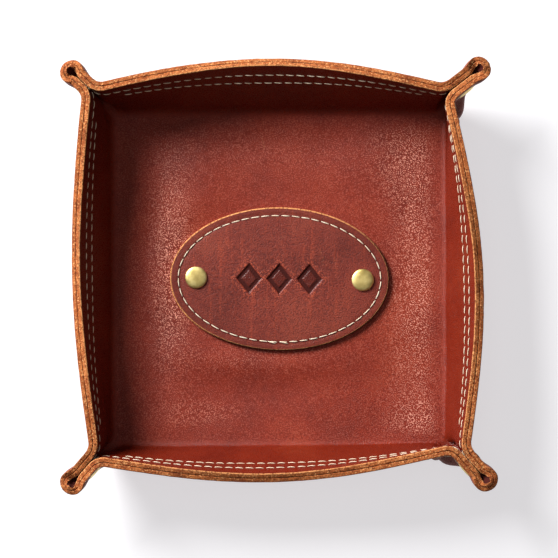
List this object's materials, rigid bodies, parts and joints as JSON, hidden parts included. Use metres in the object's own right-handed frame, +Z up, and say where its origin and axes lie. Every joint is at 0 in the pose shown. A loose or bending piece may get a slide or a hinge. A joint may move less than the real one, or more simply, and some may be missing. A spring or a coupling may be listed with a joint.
{
  "type": "leather valet tray",
  "caption": "Square catch-all tray of stitched two-layer leather, its corners pinched into riveted ears, with an oval leather patch riveted and sewn to the floor.",
  "frame": {"origin": "middle of the whole tray's box, on the plane of its underside", "axes": "+Z up out of the tray, -Y the front edge, +X to the right, with the oval patch's long axis along X"},
  "size_m": [0.1908, 0.1904, 0.0299],
  "materials": {
    "outer_leather": "satin reddish brown, with a raw tan cut edge",
    "liner_leather": "satin reddish brown with a fine grain, and a raw tan cut edge",
    "patch_leather": "satin dark reddish brown, with a raw tan cut edge",
    "thread": "matte waxed thread",
    "brass": "satin antique brass"
  },
  "bodies": {
    "root": {"outer_leather_panel": "outer_leather", "liner_leather_panel": "liner_leather", "rim_stitch_outer_right": "thread", "rim_stitch_inner_right": "thread", "rim_stitch_outer_back": "thread", "rim_stitch_inner_back": "thread", "rim_stitch_outer_left": "thread", "rim_stitch_inner_left": "thread", "rim_stitch_outer_front": "thread", "rim_stitch_inner_front": "thread", "patch_leather": "patch_leather", "patch_stitching": "thread", "patch_rivet_left": "brass", "patch_rivet_washer_left": "brass", "patch_rivet_right": "brass", "patch_rivet_washer_right": "brass", "corner_rivet_back_right": "brass", "corner_rivet_base_back_right": "brass", "corner_rivet_back_left": "brass", "corner_rivet_base_back_left": "brass", "corner_rivet_front_left": "brass", "corner_rivet_base_front_left": "brass", "corner_rivet_front_right": "brass", "corner_rivet_base_front_right": "brass"}
  },
  "joints": []
}
